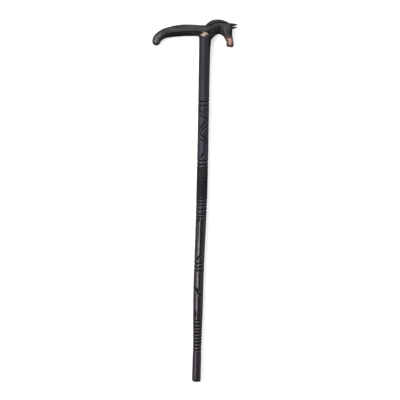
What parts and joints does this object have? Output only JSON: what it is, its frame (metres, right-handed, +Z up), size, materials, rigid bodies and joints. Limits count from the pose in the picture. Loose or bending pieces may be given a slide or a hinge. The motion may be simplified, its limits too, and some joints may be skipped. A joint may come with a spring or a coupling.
{
  "type": "walking cane",
  "caption": "Walking cane of carved dark wood: a slightly bowed stick with ring grooves and chisel cuts, and a cross handle ending in a horse's head.",
  "frame": {"origin": "centre of the stick's foot, on its flat end", "axes": "+Z up the stick, +X towards the horse's head, -Y the side the picture shows"},
  "size_m": [0.2151, 0.0302, 0.9149],
  "materials": {
    "handle_wood": "satin",
    "shaft_wood": "polished",
    "dowel_wood": "raw"
  },
  "bodies": {
    "root": {"handle": "handle_wood", "shaft": "shaft_wood", "joint_dowel": "dowel_wood"}
  },
  "joints": []
}
